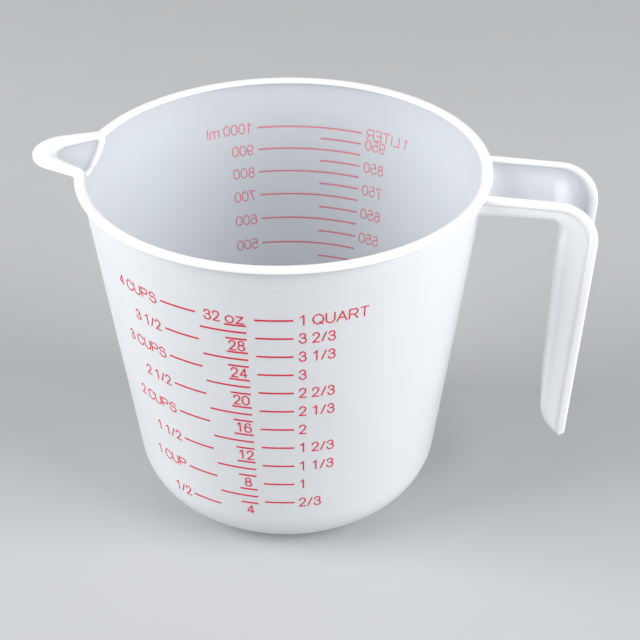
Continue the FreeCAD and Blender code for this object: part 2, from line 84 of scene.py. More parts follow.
def blended_max(a: float, b: float, width: float) -> float:
    """The larger of two distances, rounded off where they are nearly equal.

    Args:
        a: One distance.
        b: The other distance.
        width: Difference below which the two are blended.

    Returns:
        The larger distance, or a little more inside the blend.
    """
    gap = abs(a - b)
    if gap >= width:
        return max(a, b)
    return max(a, b) + (width - gap) ** 2 / (4 * width)


def between(low: float, high: float, share: float) -> float:
    """Value at a share of the way from low to high."""
    return low + (high - low) * share


def shares(steps: int) -> list[float]:
    """Ends of a number of equal parts of a run, as shares of it."""
    return [step / steps for step in range(1, steps + 1)]


@dataclass
class Section:
    """Half section of a turned shape, as one chain of points from under the base to the floor inside."""

    points: list[tuple[float, float, Skin]] = field(default_factory=list)

    def line(self, radius: float, height: float, skin: Skin, steps: int = 1) -> None:
        """Carry the chain straight on to a point.

        Args:
            radius: Distance of the point from the axis.
            height: Height of the point.
            skin: Surface that the run lies on.
            steps: Number of equal parts that the run is divided into.
        """
        if not self.points:
            self.points.append((radius, height, skin))
            return
        from_radius, from_height, _ = self.points[-1]
        for share in shares(steps):
            here = (between(from_radius, radius, share), between(from_height, height, share))
            self.points.append((*here, skin))

    def arc(self, centre: tuple[float, float], radius: float, start: float, end: float, skin: Skin,
            steps: int = 6) -> None:
        """Carry the chain on round an arc.

        Args:
            centre: Radius and height of the arc's centre.
            radius: Radius of the arc.
            start: Angle where it starts, in degrees above straight outwards.
            end: Angle where it ends.
            skin: Surface that the arc lies on.
            steps: Number of facets.
        """
        for step in range(steps + 1):
            turn = radians(between(start, end, step / steps))
            here = (centre[0] + radius * cos(turn), centre[1] + radius * sin(turn))
            if self.points and hypot(here[0] - self.points[-1][0], here[1] - self.points[-1][1]) < MERGE:
                continue
            self.points.append((*here, skin))


@dataclass(frozen=True)
class Nose:
    """Plan of the spout at one height: a round nose on two straight flanks."""

    centre: float
    radius: float
    root_half: float
    root_out: float

    def reach(self, angle: float) -> float:
        """Distance from the jug's axis to the plan's edge.

        Args:
            angle: Angle from the spout's centre line, in radians.

        Returns:
            The distance along that direction, or 0 where the plan has shrunk away.
        """
        if self.radius <= 0 or self.root_half <= 0:
            return 0.0
        angle = max(abs(angle), MERGE)
        run = hypot(self.root_out - self.centre, self.root_half)
        touch = atan2(self.root_half, self.root_out - self.centre) - acos(self.radius / run)
        side = (self.centre + self.radius * cos(touch), self.radius * sin(touch))
        if angle <= atan2(side[1], side[0]):
            return self.centre * cos(angle) + sqrt(self.radius ** 2 - (self.centre * sin(angle)) ** 2)
        if angle >= atan2(self.root_half, self.root_out):
            return self.root_half / sin(angle)
        flank = (self.root_out - side[0], self.root_half - side[1])
        return (side[0] * flank[1] - side[1] * flank[0]) / (cos(angle) * flank[1] - sin(angle) * flank[0])


@dataclass(frozen=True)
class Spout:
    """Open trough with a flat lip, on the -X side, shaped out of the vessel's wall and rim.

    Distances out are from the jug's axis. The vessel's skin is moved above the zone's foot, and up to the
    zone's angle, in degrees, on each side of the spout's centre line.
    """

    lip: Nose = Nose(centre=0.0725, radius=0.0118, root_half=0.0155, root_out=0.0662)
    tip: float = 0.0781
    nose_radius: float = 0.0068
    root_half: float = 0.0132
    root_out: float = 0.0625
    depth: float = 0.0059
    foot: float = 0.0640
    wall: float = 0.0015
    zone: float = 15.0
    zone_foot: float = 0.1145
    crease: float = 0.0011
    # Width of the painted highlight band along the trough's inside crease, and how strongly its middle is
    # marked.
    crease_highlight_band: float = 0.0012
    crease_highlight_core: float = 1.5
    mouth_spread: float = 0.5
    root_crease: float = 0.0003

    def trough(self, below_rim: float, swell: float) -> Nose:
        """Plan of the trough at a depth: half an ellipse across, with a floor that rises to the tip.

        Args:
            below_rim: Depth under the rim's top.
            swell: How far the form is widened, for the outside of the trough's wall.

        Returns:
            The plan.
        """
        share = max(below_rim, 0.0) / (self.depth + swell)
        narrowing = sqrt(max(1 - share ** 2, 0.0))
        radius = (self.nose_radius + swell) * narrowing
        tip = between(self.tip, self.foot, share) + swell
        return Nose(centre=tip - radius, radius=radius, root_half=(self.root_half + swell) * narrowing,
                    root_out=self.root_out)


@dataclass(frozen=True)
class Vessel:
    """The round vessel with its base, rim and spout. Its draft is in degrees."""

    height: float = CAD_BOX[1].z
    wall: float = 0.0015
    draft: float = 7.5
    shoulder_radius: float = 0.066
    base_corner: float = 0.0215
    rim_radius: float = 0.068
    rim_depth: float = 0.0018
    rim_edge: float = 0.0005
    mouth_round: float = 0.0012
    under_rim_round: float = 0.0004
    recess_radius: float = 0.0255
    panel_radius: float = 0.027
    panel_rise: float = 0.0008
    gate_radius: float = 0.002
    gate_drop: float = 0.0004
    print_key: float = 0.00003
    bend_steps: int = 22
    spout_turn_steps: int = 180
    plain_turn_steps: int = 240
    rim_milk_and_highlight_rise: float = 2.0
    spout: Spout = Spout()

    @property
    def rim_bottom(self) -> float:
        """Height of the flange's underside."""
        return self.height - self.rim_depth

    @property
    def corner_centre(self) -> float:
        """Distance from the axis to the centre of the bend between base and side.

        Returns:
            The distance, such that the bend runs into the drafted side without a corner.
        """
        slope = tan(radians(self.draft))
        cone_base = self.shoulder_radius - self.rim_bottom * slope
        return cone_base + self.base_corner * slope - self.base_corner / cos(radians(self.draft))

    def side(self, height: float, inset: float = 0.0) -> float:
        """Radius of the straight side.

        Args:
            height: Height up the jug.
            inset: Distance into the wall, square to it.

        Returns:
            The radius.
        """
        out = (height - self.rim_bottom) * tan(radians(self.draft))
        return self.shoulder_radius + out - inset / cos(radians(self.draft))

    def section(self) -> Section:
        """Draw the half section: under the base, up the outside, over the rim and down the inside.

        Returns:
            The chain, from the gate mark's centre to the centre of the floor inside.
        """
        chain = Section()
        edge = self.panel_rise / 2
        gate_edge = self.gate_drop / 2
        gate_foot = self.panel_rise - self.gate_drop
        bend = (self.corner_centre, self.base_corner)
        chain.line(0, gate_foot, Skin.OUTSIDE)
        chain.arc((self.gate_radius - gate_edge, gate_foot + gate_edge), gate_edge, -90, 0, Skin.OUTSIDE)
        chain.arc((self.gate_radius + gate_edge, gate_foot + gate_edge), gate_edge, 180, 90, Skin.OUTSIDE)
        chain.line(self.recess_radius - 2 * edge, self.panel_rise, Skin.OUTSIDE, 2)
        chain.arc((self.recess_radius - 2 * edge, edge), edge, 90, 0, Skin.OUTSIDE)
        chain.arc((self.recess_radius, edge), edge, 180, 270, Skin.OUTSIDE)
        chain.arc(bend, self.base_corner + self.print_key, -90, -self.draft, Skin.OUTSIDE, self.bend_steps)
        chain.line(self.side(self.spout.zone_foot, -self.print_key), self.spout.zone_foot, Skin.OUTSIDE, 6)
        shoulder = self.rim_bottom - self.under_rim_round
        chain.line(self.side(shoulder, -self.print_key), shoulder, Skin.OUTSIDE, 32)
        fillet = (self.side(shoulder, -self.print_key) + self.under_rim_round, shoulder)
        chain.arc(fillet, self.under_rim_round, 180, 90, Skin.OUTSIDE, 4)
        edge_out = self.rim_radius - self.rim_edge
        chain.arc((edge_out, self.rim_bottom + self.rim_edge), self.rim_edge, -90, 0, Skin.RIM, 5)
        chain.arc((edge_out, self.height - self.rim_edge), self.rim_edge, 0, 90, Skin.RIM, 5)
        mouth_foot = self.height - self.mouth_round
        mouth = (self.side(mouth_foot, self.wall) + self.mouth_round, mouth_foot)
        chain.arc(mouth, self.mouth_round, 90, 180, Skin.INSIDE, 8)
        chain.line(self.side(self.spout.zone_foot, self.wall), self.spout.zone_foot, Skin.INSIDE, 40)
        inner_bend = self.base_corner - self.wall
        bend_top = self.base_corner - inner_bend * sin(radians(self.draft))
        chain.line(self.side(bend_top, self.wall), bend_top, Skin.INSIDE, 6)
        chain.arc(bend, inner_bend, -self.draft, -90, Skin.INSIDE, self.bend_steps)
        chain.arc((self.panel_radius + 2 * edge, self.wall + edge), edge, 270, 180, Skin.INSIDE)
        chain.arc((self.panel_radius, self.wall + edge), edge, 0, 90, Skin.INSIDE)
        chain.line(0, self.wall + self.panel_rise, Skin.INSIDE, 2)
        return chain

    def turned(self) -> bmesh.types.BMesh:
        """Turn the section round the axis, finely across the spout and coarser elsewhere.

        Returns:
            The closed skin, with the layer "skin" saying which surface each vertex is on.
        """
        skin = bmesh.new()
        layer = skin.verts.layers.int.new("skin")
        skin.verts.layers.float.new(MILK_AND_HIGHLIGHT)
        polish = skin.verts.layers.float.new(GLOSS_AND_INNER_SHADE)
        zone = self.spout.zone
        sectors = ((180 - zone, 2 * zone, self.spout_turn_steps),
                   (180 + zone, 360 - 2 * zone, self.plain_turn_steps))
        section = self.section()
        for start, sweep, steps in sectors:
            placed = Matrix.Rotation(radians(start), 4, "Z")
            chain = []
            for radius, height, side in section.points:
                vertex = skin.verts.new(placed @ Vector((radius, 0, height)))
                vertex[layer] = side.value
                # Inside surfaces get the inside mark: a glossier finish and a painted shade in the plastic.
                vertex[polish] = 1.0 if side == Skin.INSIDE else 0.0
                chain.append(vertex)
            edges = [skin.edges.new(pair) for pair in zip(chain, chain[1:])]
            bmesh.ops.spin(skin, geom=chain + edges, cent=(0, 0, 0), axis=(0, 0, 1), angle=radians(sweep),
                           steps=steps, use_merge=False)
        bmesh.ops.remove_doubles(skin, verts=skin.verts, dist=MERGE)
        return skin

    def shape_spout(self, skin: bmesh.types.BMesh) -> None:
        """Move the wall and rim outwards to the spout's trough and lip, and mark a painted highlight along
        the trough's inside crease.

        Args:
            skin: The turned vessel, which is changed.
        """
        layer = skin.verts.layers.int["skin"]
        milkiness = skin.verts.layers.float[MILK_AND_HIGHLIGHT]
        spout = self.spout
        for vertex in skin.verts:
            angle = atan2(vertex.co.y, -vertex.co.x)
            if vertex.co.z < spout.zone_foot or abs(angle) > radians(spout.zone):
                continue
            old = hypot(vertex.co.x, vertex.co.y)
            below = self.height - vertex.co.z
            if vertex[layer] == Skin.RIM.value:
                new = blended_max(self.rim_radius, spout.lip.reach(angle), spout.root_crease)
                new += old - self.rim_radius
            elif vertex[layer] == Skin.OUTSIDE.value:
                plain = self.side(vertex.co.z)
                reach = spout.trough(below, spout.wall).reach(angle)
                new = blended_max(plain, reach, spout.crease) + old - plain
            else:
                plain = self.side(vertex.co.z, self.wall)
                reach = spout.trough(below, 0).reach(angle)
                edge = blended_max(plain, reach, spout.crease)
                # Painted highlight: a band along the trough's inside crease gets the full milk-white mark.
                crease_highlight = min(max(0.0, spout.crease_highlight_core - abs(plain - reach) / spout.crease_highlight_band), 1.0)
                vertex[milkiness] = max(vertex[milkiness], crease_highlight)
                opened = min((edge - plain) / spout.crease, 1)
                new = edge + (old - plain) * between(1, spout.mouth_spread, opened)
            vertex.co.x *= new / old
            vertex.co.y *= new / old

    def mark_rim(self, skin: bmesh.types.BMesh) -> None:
        """Mark the rim, fading down the mouth's rounding: it is milkier and more opaque than the wall for
        its greater thickness, and its whiter colour is partly a painted highlight.

        Args:
            skin: The turned vessel, which is changed.
        """
        layer = skin.verts.layers.int["skin"]
        milkiness = skin.verts.layers.float[MILK_AND_HIGHLIGHT]
        for vertex in skin.verts:
            if vertex[layer] == Skin.RIM.value:
                vertex[milkiness] = 1.0
            else:
                above = (vertex.co.z - self.height + self.mouth_round) / self.mouth_round
                vertex[milkiness] = min(max(above * self.rim_milk_and_highlight_rise, 0.0), 1.0)

    def build(self) -> bmesh.types.BMesh:
        """Make the vessel's closed skin.

        Returns:
            The skin, with its spout and its two marks, and with its faces turned outwards.
        """
        skin = self.turned()
        self.mark_rim(skin)
        self.shape_spout(skin)
        bmesh.ops.recalc_face_normals(skin, faces=skin.faces)
        return skin


@dataclass(frozen=True)
class Handle:
    """Open channel, bent down into a hook and closed by a curved toe, as a lofted solid.

    Slope, lean and sweep are in degrees. A place is a distance from the axis and a height.
    """

    vessel: Vessel
    half_width: float = 0.015
    bead_width: float = 0.0022
    bead_depth: float = 0.0024
    flange: float = 0.0014
    web: float = 0.0020
    hand_round: float = 0.0045
    channel_round: float = 0.0036
    bead_round: float = 0.0006
    root_fillet: float = 0.0010
    arm_slope: float = 2.2
    bend_centre: tuple[float, float] = (0.0890, 0.1096)
    bend_radius: float = 0.0134
    grip_lean: float = 3.8
    grip_length: float = 0.0730
    underside: float = 0.1160
    corner_start: float = 0.0880
    corner_end: tuple[float, float] = (0.0906, 0.1128)
    grip_end: tuple[float, float] = (0.0888, 0.0450)
    toe_radius: float = 0.0117
    toe_sweep: float = 64.0
    knee_above_tip: float = 0.0105
    rim_overlap: float = 0.0005
    root_steps: int = 6
    arm_steps: int = 10
    bend_steps: int = 28
    grip_steps: int = 14
    toe_steps: int = 24
    hand_share: float = 0.45
    bead_share: float = 0.3
    least_room: float = 0.0001
    # Share of the milk-white mark on the handle's other outer faces: partly milkier plastic, partly a
    # painted highlight.
    web_milkiness: float = 0.45

    def edge_at(self, angle: float) -> Vector:
        """Point of the outer edge's bend at an angle above straight outwards, in degrees."""
        turn = radians(angle)
        return Vector((self.bend_centre[0] + self.bend_radius * cos(turn), 0,
                       self.bend_centre[1] + self.bend_radius * sin(turn)))

    def stations(self) -> list[tuple[Vector, Vector, float]]:
        """Places where the channel's section is set.

        Returns:
            For each station, its point on the hand side, its point on the outer edge, and how far its
            outline is spread into the fillet against the vessel.
        """
        crown = self.edge_at(90 - self.arm_slope)
        back = self.edge_at(-self.grip_lean)
        down = Vector((-sin(radians(self.grip_lean)), 0, -cos(radians(self.grip_lean))))
        tip = back + down * self.grip_length
        knee = back + down * (self.grip_length - self.knee_above_tip)
        corner = (Vector((self.corner_start, 0, self.underside)),
                  Vector((self.corner_end[0], 0, self.corner_end[1])))
        heel = Vector((self.grip_end[0], 0, self.grip_end[1]))

        def arm(hand_x: float, edge_x: float, spread: float) -> tuple[Vector, Vector, float]:
            """Set a station on the arm.

            Args:
                hand_x: Distance of its hand side from the axis.
                edge_x: Distance of its outer edge from the axis.
                spread: How far its outline is spread into the fillet.

            Returns:
                The station.
            """
            rise = (crown.x - edge_x) * tan(radians(self.arm_slope))
            return Vector((hand_x, 0, self.underside)), Vector((edge_x, 0, crown.z + rise)), spread

        wall_x = self.vessel.side(self.underside)
        rim_x = self.vessel.side(self.vessel.height)
        found = [arm(wall_x - self.vessel.wall / 2, rim_x, self.root_fillet)]
        for step in range(self.root_steps + 1):
            away = self.root_fillet * (step / self.root_steps) ** 2
            spread = self.root_fillet - sqrt(self.root_fillet ** 2 - (self.root_fillet - away) ** 2)
            found.append(arm(wall_x + away, rim_x + self.rim_overlap + away, spread))
        start = found[-1]
        for share in shares(self.arm_steps):
            edge_x = between(start[1].x, crown.x, share)
            found.append(arm(between(start[0].x, corner[0].x, share), edge_x, 0))
        for share in shares(self.bend_steps):
            found.append((corner[0].lerp(corner[1], share),
                          self.edge_at(between(90 - self.arm_slope, -self.grip_lean, share)), 0))
        for share in shares(self.grip_steps):
            found.append((corner[1].lerp(heel, share), back.lerp(knee, share), 0))
        for share in shares(self.toe_steps):
            turn = radians(180 + self.toe_sweep * share)
            hand = heel + Vector((self.toe_radius * (1 + cos(turn)), 0, self.toe_radius * sin(turn)))
            found.append((hand, knee.lerp(tip, share), 0))
        return found

    def outline(self, depth: float, spread: float) -> list[tuple[float, float]]:
        """Closed outline of the channel at one station.

        Args:
            depth: Distance from the hand side to the outer edge.
            spread: How far the outline is pushed into the fillet against the vessel.

        Returns:
            Points as distance from the hand side and distance across, in order round the section.
        """
        bead_inside = self.half_width - self.bead_width
        side = min(bead_inside + self.flange + spread, self.half_width - self.bead_round)
        inside = bead_inside - spread
        bead_foot = depth - self.bead_depth
        room = max(bead_foot, self.least_room)
        hand = min(self.hand_round, room * self.hand_share)
        floor = min(self.web + spread, depth - self.bead_round)
        hollow = min(self.channel_round, max(depth - floor - self.bead_round, self.least_room / 2) / 2)
        tight = self.bead_round
        small = min(self.bead_round / 2, room * self.bead_share)
        half: list[tuple[float, float]] = []

        def corner(u: float, y: float, radius: float, start: float, end: float, steps: int) -> None:
            """Round one corner.

            Args:
                u: Distance of the corner's centre from the hand side.
                y: Distance of the corner's centre across.
                radius: Radius of the corner.
                start: Angle where it starts, in degrees: 0 is across and 90 towards the outer edge.
                end: Angle where it ends.
                steps: Number of facets.
            """
            for step in range(steps + 1):
                turn = radians(between(start, end, step / steps))
                half.append((u + radius * sin(turn), y + radius * cos(turn)))

        half.append((-spread, side * 0.3))
        half.append((-spread, side * 0.6))
        corner(hand - spread, side - hand, hand, -90, 0, 8)
        half.append((bead_foot, side))
        corner(bead_foot + small, self.half_width - small, small, -90, 0, 3)
        corner(depth - tight, self.half_width - tight, tight, 0, 90, 5)
        corner(depth - tight, bead_inside + tight, tight, 90, 180, 5)
        half.append((between(floor + hollow, depth - tight, 0.5), inside))
        corner(floor + hollow, inside - hollow, hollow, 0, -90, 6)
        half.append((floor, inside / 2))
        return half + [(u, -y) for u, y in reversed(half)]

    def placed(self, station: tuple[Vector, Vector, float]) -> list[Vector]:
        """Points of one station's outline in space, bent round the vessel where they are close to it.

        Args:
            station: Hand side point, outer edge point and spread.

        Returns:
            One point for each point of the outline.
        """
        hand, outer, spread = station
        depth = (outer - hand).length
        towards = (outer - hand) / depth
        radius = self.vessel.shoulder_radius
        fade = max(0.0, 1 - max(hand.x - radius, 0) / self.half_width)
        places = []
        for u, y in self.outline(depth, spread):
            place = hand + towards * u + Vector((0, y, 0))
            place.x -= fade * (radius - sqrt(radius ** 2 - y ** 2))
            places.append(place)
        return places

    def build(self) -> bmesh.types.BMesh:
        """Loft the section through its stations and close both ends.

        Returns:
            The closed solid, with its two marks on each vertex.
        """
        solid = bmesh.new()
        order = solid.verts.layers.int.new("order")
        milkiness = solid.verts.layers.float.new(MILK_AND_HIGHLIGHT)
        polish = solid.verts.layers.float.new(GLOSS_AND_INNER_SHADE)
        rings = [self.placed(station) for station in self.stations()]
        inside = self.half_width - self.bead_width + MERGE
        marks = []
        # Beads get the full milk-white mark, partly a painted highlight; the channel's inside gets the
        # inside mark and its painted shade; the rest gets the handle's share of the milk-white mark.
        for u, y in self.outline(self.bend_radius, 0):
            if u > self.bend_radius - self.bead_depth - MERGE:
                marks.append((1.0, 0.0))
            elif u > self.web - MERGE and abs(y) < inside:
                marks.append((0.0, 1.0))
            else:
                marks.append((self.web_milkiness, 0.0))
        loop = []
        for i, place in enumerate(rings[0]):
            vertex = solid.verts.new(place)
            vertex[order] = i
            vertex[milkiness], vertex[polish] = marks[i]
            loop.append(vertex)
        edges = [solid.edges.new((a, b)) for a, b in zip(loop, loop[1:] + loop[:1])]
        for ring in rings[1:]:
            grown = bmesh.ops.extrude_edge_only(solid, edges=edges)["geom"]
            fresh = {g for g in grown if isinstance(g, bmesh.types.BMVert)}
            run = [g for g in grown if isinstance(g, bmesh.types.BMEdge)]
            edges = [edge for edge in run if set(edge.verts) <= fresh]
            for vertex in fresh:
                vertex.co = ring[vertex[order]]
                vertex[milkiness], vertex[polish] = marks[vertex[order]]
        open_edges = [e for e in solid.edges if e.is_boundary]
        caps = bmesh.ops.holes_fill(solid, edges=open_edges, sides=0)["faces"]
        bmesh.ops.triangulate(solid, faces=caps)
        bmesh.ops.recalc_face_normals(solid, faces=solid.faces)
        return solid


class NodeTree:
    """Short hand for laying out shader nodes."""

    def __init__(self, tree: bpy.types.NodeTree) -> None:
        """Take the tree that nodes go into."""
        self.tree = tree

    def add(self, kind: str, settings: dict[str, object] | None = None,
            **inputs: object) -> bpy.types.Node:
        """Add a node.

        Args:
            kind: The node's type name.
            settings: Properties of the node itself.
            **inputs: Values or outputs to link, by the socket's name with underscores for spaces, or by an
                underscore and its number.

        Returns:
            The node.
        """
        node = self.tree.nodes.new(kind)
        for name, value in (settings or {}).items():
            setattr(node, name, value)
        for name, value in inputs.items():
            by_number = name.startswith("_")
            self.feed(node.inputs[int(name[1:]) if by_number else name.replace("_", " ")], value)
        return node

    def feed(self, socket: bpy.types.NodeSocket, value: object) -> None:
        """Give an input socket its value.

        Args:
            socket: The input.
            value: An output to link, or the value itself.
        """
        if isinstance(value, bpy.types.NodeSocket):
            self.tree.links.new(value, socket)
        else:
            socket.default_value = value

    def maths(self, operation: str, a: object, b: object = 0.0,
              clamp: bool = False) -> bpy.types.NodeSocket:
        """Output of a Math node on two numbers or outputs."""
        node = self.add("ShaderNodeMath", {"operation": operation, "use_clamp": clamp}, _0=a, _1=b)
        return node.outputs[0]

    def ranged(self, value: object, low: float, high: float, to_low: object = 0.0,
               to_high: object = 1.0) -> bpy.types.NodeSocket:
        """Output of a clamped Map Range node from low..high to to_low..to_high."""
        node = self.add("ShaderNodeMapRange", {}, Value=value, From_Min=low, From_Max=high, To_Min=to_low,
                        To_Max=to_high)
        return node.outputs["Result"]

    def attribute(self, name: str) -> bpy.types.NodeSocket:
        """Output of a mesh attribute that holds one number a vertex."""
        return self.add("ShaderNodeAttribute", {"attribute_name": name}).outputs["Fac"]

    def mixed(self, share: bpy.types.NodeSocket, low: object, high: object) -> bpy.types.NodeSocket:
        """Mix two colours.

        Args:
            share: How far the mix goes from the first colour to the second.
            low: The first colour, or an output.
            high: The second colour, or an output.

        Returns:
            The mixed colour.
        """
        node = self.add("ShaderNodeMix", {"data_type": "RGBA"}, Factor=share)
        for socket in (s for s in node.inputs if s.type == "RGBA"):
            self.feed(socket, low if socket.name == "A" else high)
        return next(s for s in node.outputs if s.type == "RGBA")


def surface_group() -> bpy.types.NodeTree:
    """Build the surface detail that plastic and ink share: clouds, grain and fine scratches.

    Returns:
        A node group with the inputs Cloud Scale, Grain Scale and Scratch Scale and the outputs Cloud,
        Grain and Scratches, each from 0 to 1.
    """
    group = bpy.data.node_groups.new("surface_detail", "ShaderNodeTree")
    for name, usual in (("Cloud Scale", 40.0), ("Grain Scale", 2500.0), ("Scratch Scale", 600.0)):
        socket = group.interface.new_socket(name=name, in_out="INPUT", socket_type="NodeSocketFloat")
        socket.default_value = usual
    for name in ("Cloud", "Grain", "Scratches"):
        group.interface.new_socket(name=name, in_out="OUTPUT", socket_type="NodeSocketFloat")
    nodes = NodeTree(group)
    given = nodes.add("NodeGroupInput")
    result = nodes.add("NodeGroupOutput")
    place = nodes.add("ShaderNodeTexCoord").outputs["Object"]
    cloud = nodes.add("ShaderNodeTexNoise", {}, Vector=place,
                      Scale=given.outputs["Cloud Scale"], Detail=4.0, Roughness=0.55)
    grain = nodes.add("ShaderNodeTexNoise", {}, Vector=place,
                      Scale=given.outputs["Grain Scale"], Detail=2.0)
    turned = nodes.add("ShaderNodeMapping", {}, Vector=place,
                       Rotation=(0.9, 0.5, 0.3), Scale=(1.0, 0.05, 1.0))
    scratch = nodes.add("ShaderNodeTexNoise", {}, Vector=turned.outputs[0],
                        Scale=given.outputs["Scratch Scale"], Detail=1.0, Distortion=0.4)
    patches = nodes.add("ShaderNodeTexNoise", {}, Vector=place, Scale=60.0)
    lines = nodes.ranged(scratch.outputs["Fac"], 0.70, 0.76)
    worn = nodes.ranged(patches.outputs["Fac"], 0.50, 0.64)
    nodes.tree.links.new(nodes.ranged(cloud.outputs["Fac"], 0.3, 0.7), result.inputs["Cloud"])
    nodes.tree.links.new(grain.outputs["Fac"], result.inputs["Grain"])
    nodes.tree.links.new(nodes.maths("MULTIPLY", lines, worn), result.inputs["Scratches"])
    return group


@dataclass(frozen=True)
class NaturalPolypropylene:
    """Milky, part see-through plastic as it comes from the mould."""

    detail: bpy.types.NodeTree
    wall_tone: tuple[float, float, float, float] = (0.84, 0.86, 0.88, 1.0)
    # Whiter tone of the marked parts: thicker plastic is milkier, and the rest of its lift over the wall
    # tone is a painted highlight.
    milk_and_highlight_tone: tuple[float, float, float, float] = (0.96, 0.965, 0.97, 1.0)
    # Darker grey-blue tone of the inside surfaces: painted shade on the same plastic as the outside.
    painted_inner_shade_tone: tuple[float, float, float, float] = (0.60, 0.65, 0.71, 1.0)
    outer_cover: float = 0.72
    inner_cover: float = 0.33
    cloud_milk: float = 0.15
    milk_and_highlight_weight: float = 0.85
    satin: tuple[float, float] = (0.28, 0.36)
    polish_gloss: float = 0.20
    scratch_dulling: float = 0.12
    foot_scuff: float = 0.25
    scuff_heights: tuple[float, float] = (0.0002, 0.0012)
    refraction: float = 1.49

    def material(self) -> bpy.types.Material:
        """Build the material: cloudy tone, soft gloss, a fine grain, a scuffed foot, a whiter tone on the
        marked parts that is partly their real milkier plastic and partly a painted highlight, and painted
        shade on the inside surfaces.

        Returns:
            The material, which reads the marks "milkiness" and "polish".
        """
        made = bpy.data.materials.new(PLASTIC_SLOT)
        made.use_nodes = True
        nodes = NodeTree(made.node_tree)
        shader = made.node_tree.nodes["Principled BSDF"]
        surface = nodes.add("ShaderNodeGroup", {"node_tree": self.detail}, Cloud_Scale=55.0,
                            Grain_Scale=1800.0, Scratch_Scale=700.0)
        place = nodes.add("ShaderNodeTexCoord").outputs["Object"]
        height = nodes.add("ShaderNodeSeparateXYZ", {}, Vector=place).outputs["Z"]
        foot = nodes.ranged(height, *self.scuff_heights, 1.0, 0.0)
        # Milk-white mark, partly a painted highlight, and inside mark, which brings the painted shade of the
        # inside.
        milk_and_highlight_mark = nodes.attribute(MILK_AND_HIGHLIGHT)
        inner = nodes.attribute(GLOSS_AND_INNER_SHADE)
        clouded = nodes.maths("MULTIPLY", surface.outputs["Cloud"], self.cloud_milk)
        marked_whitening = nodes.maths("MULTIPLY", milk_and_highlight_mark, self.milk_and_highlight_weight)
        whitening = nodes.maths("ADD", clouded, marked_whitening, clamp=True)
        # Painted shade: the inside surfaces, away from the milk-white parts, take the darker inside tone.
        painted_inner_shade = nodes.maths("SUBTRACT", inner, milk_and_highlight_mark, clamp=True)
        outside = nodes.mixed(whitening, self.wall_tone, self.milk_and_highlight_tone)
        colour = nodes.mixed(painted_inner_shade, outside, self.painted_inner_shade_tone)
        wall_cover = nodes.ranged(inner, 0.0, 1.0, self.outer_cover, self.inner_cover)
        cover = nodes.ranged(milk_and_highlight_mark, 0.0, 1.0, wall_cover, 1.0)
        satin = nodes.ranged(surface.outputs["Cloud"], 0.0, 1.0, *self.satin)
        gloss = nodes.maths("SUBTRACT", satin, nodes.maths("MULTIPLY", inner, self.polish_gloss))
        marked = nodes.maths("MULTIPLY", surface.outputs["Scratches"], self.scratch_dulling)
        scuffed = nodes.maths("MULTIPLY", foot, self.foot_scuff)
        roughness = nodes.maths("ADD", nodes.maths("ADD", gloss, marked), scuffed, clamp=True)
        relief = nodes.maths("ADD", nodes.maths("MULTIPLY", surface.outputs["Grain"], 0.5),
                             nodes.maths("MULTIPLY", surface.outputs["Scratches"], -0.5))
        bump = nodes.add("ShaderNodeBump", {}, Strength=0.25, Distance=0.00004, Height=relief)
        made.node_tree.links.new(colour, shader.inputs["Base Color"])
        made.node_tree.links.new(roughness, shader.inputs["Roughness"])
        made.node_tree.links.new(cover, shader.inputs["Alpha"])
        made.node_tree.links.new(bump.outputs["Normal"], shader.inputs["Normal"])
        shader.inputs["IOR"].default_value = self.refraction
        return made


@dataclass(frozen=True)
class ScreenPrintInk:
    """Crimson ink of the printed scales."""

    detail: bpy.types.NodeTree
    full_tone: tuple[float, float, float, float] = (0.58, 0.008, 0.040, 1.0)
    thin_tone: tuple[float, float, float, float] = (0.70, 0.018, 0.060, 1.0)
    # Brighter pink of the ink's side against the plastic: a painted glow of light coming through the ink
    # from behind.
    painted_backlight_tone: tuple[float, float, float, float] = (0.95, 0.070, 0.130, 1.0)
    satin: tuple[float, float] = (0.42, 0.55)

    def material(self) -> bpy.types.Material:
        """Build the material: crimson, mottled where the ink lies thinner, and brighter pink on its plastic
        side as a painted glow of light coming through from behind.

        Returns:
            The material.
        """
        made = bpy.data.materials.new(INK_SLOT)
        made.use_nodes = True
        nodes = NodeTree(made.node_tree)
        shader = made.node_tree.nodes["Principled BSDF"]
        surface = nodes.add("ShaderNodeGroup", {"node_tree": self.detail}, Cloud_Scale=900.0,
                            Grain_Scale=6000.0, Scratch_Scale=900.0)
        place = nodes.add("ShaderNodeTexCoord")
        facing = nodes.add("ShaderNodeVectorMath", {"operation": "DOT_PRODUCT"},
                           _0=place.outputs["Object"], _1=place.outputs["Normal"]).outputs["Value"]
        # Ink faces turned towards the axis lie against the plastic and get the painted backlight glow.
        keyed = nodes.maths("LESS_THAN", facing, 0.0)
        printed = nodes.mixed(surface.outputs["Cloud"], self.full_tone, self.thin_tone)
        colour = nodes.mixed(keyed, printed, self.painted_backlight_tone)
        bump = nodes.add("ShaderNodeBump", {}, Strength=0.3, Distance=0.00002,
                         Height=surface.outputs["Grain"])
        made.node_tree.links.new(colour, shader.inputs["Base Color"])
        roughness = nodes.ranged(surface.outputs["Cloud"], 0.0, 1.0, *self.satin)
        made.node_tree.links.new(roughness, shader.inputs["Roughness"])
        made.node_tree.links.new(bump.outputs["Normal"], shader.inputs["Normal"])
        return made


def shown(name: str, shape: bmesh.types.BMesh) -> bpy.types.Object:
    """Put a finished bmesh into the scene as an object at the origin, and free it.

    Args:
        name: Name of the object and of its mesh.
        shape: The bmesh.

    Returns:
        The object.
    """
    mesh = bpy.data.meshes.new(name)
    shape.to_mesh(mesh)
    shape.free()
    made = bpy.data.objects.new(name, mesh)
    bpy.context.scene.collection.objects.link(made)
    return made


